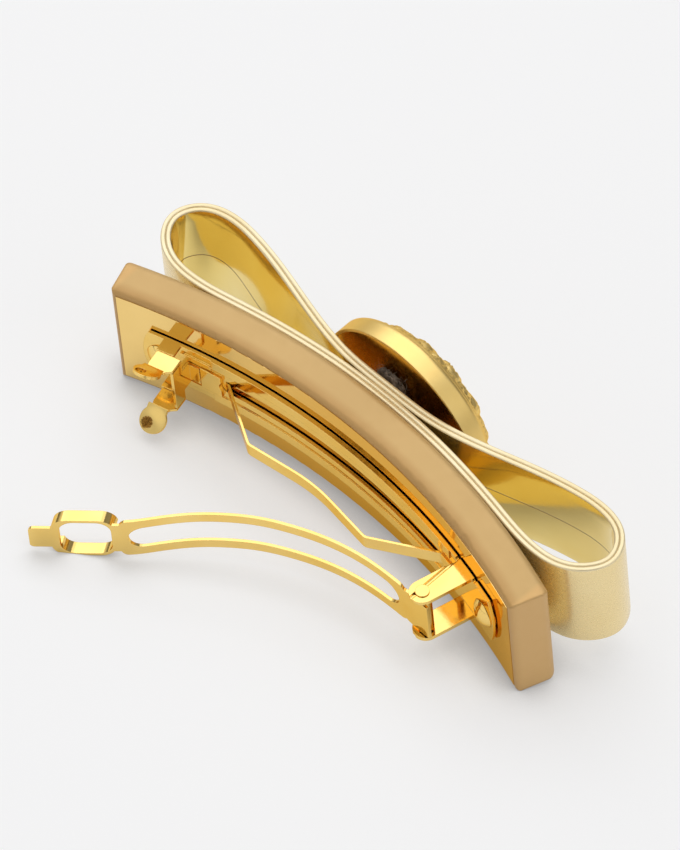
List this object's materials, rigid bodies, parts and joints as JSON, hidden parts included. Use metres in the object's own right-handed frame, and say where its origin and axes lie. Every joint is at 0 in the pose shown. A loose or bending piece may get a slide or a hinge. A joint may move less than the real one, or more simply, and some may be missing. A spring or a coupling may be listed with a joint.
{
  "type": "bow hair barrette",
  "caption": "Curved-bar hair barrette with a two-loop leather bow, a round flower medallion and a sprung metal clasp with a hinged slotted arm.",
  "frame": {"origin": "centre of the bar's lower side face, at mid-length and mid-thickness", "axes": "+X along the bar from the catch to the hinge, +Y towards the bow and medallion, +Z across the bar's width, up as it lies on its side"},
  "size_m": [0.0956, 0.0628, 0.0318],
  "materials": {
    "bar_side": "matte gold-tan painted side",
    "bar_mirror": "glossy mirror-like gold facing",
    "bow_leather": "pale metallic gold leather",
    "bow_lining": "glossy gold leather lining",
    "medallion_gold": "satin gold plated casting",
    "pad_felt": "grey-brown fibre pad",
    "clasp_gold": "polished gold plated sheet metal"
  },
  "bodies": {
    "bar": {"bar_core": "bar_side", "underside_facing": "bar_mirror", "bow_side_facing": "bow_leather", "bow_outer_ply": "bow_leather", "bow_inner_ply": "bow_lining", "medallion_disc": "medallion_gold", "medallion_back": "medallion_gold", "medallion_rosette": "medallion_gold", "medallion_boss": "medallion_gold", "medallion_pad": "pad_felt", "medallion_stud": "clasp_gold", "stud_washer": "clasp_gold", "base_plate": "clasp_gold", "plate_rivets": "clasp_gold", "hinge_pin": "clasp_gold", "tension_strip": "clasp_gold", "catch_frame": "clasp_gold"},
    "clasp_arm": {"clasp_arm": "clasp_gold"},
    "catch_leg_upper": {"catch_leg_upper": "clasp_gold"},
    "catch_leg_lower": {"catch_leg_lower": "clasp_gold"}
  },
  "joints": [
    {"name": "clasp_hinge", "type": "hinge", "parent": "bar", "child": "clasp_arm", "pos_m": [0.02814, -0.01486, 0.011], "axis": [0, 0, -1], "range_deg": [-55, 29]},
    {"name": "catch_flex_upper", "type": "hinge", "parent": "bar", "child": "catch_leg_upper", "pos_m": [-0.03006, -0.00699, 0.01585], "axis": [-0.2386, 0.9711, 0], "range_deg": [0, 6], "stiffness_Nm_per_rad": 0.02},
    {"name": "catch_flex_lower", "type": "hinge", "parent": "bar", "child": "catch_leg_lower", "pos_m": [-0.03006, -0.00699, 0.00615], "axis": [0.2386, -0.9711, 0], "range_deg": [0, 6], "stiffness_Nm_per_rad": 0.02}
  ]
}
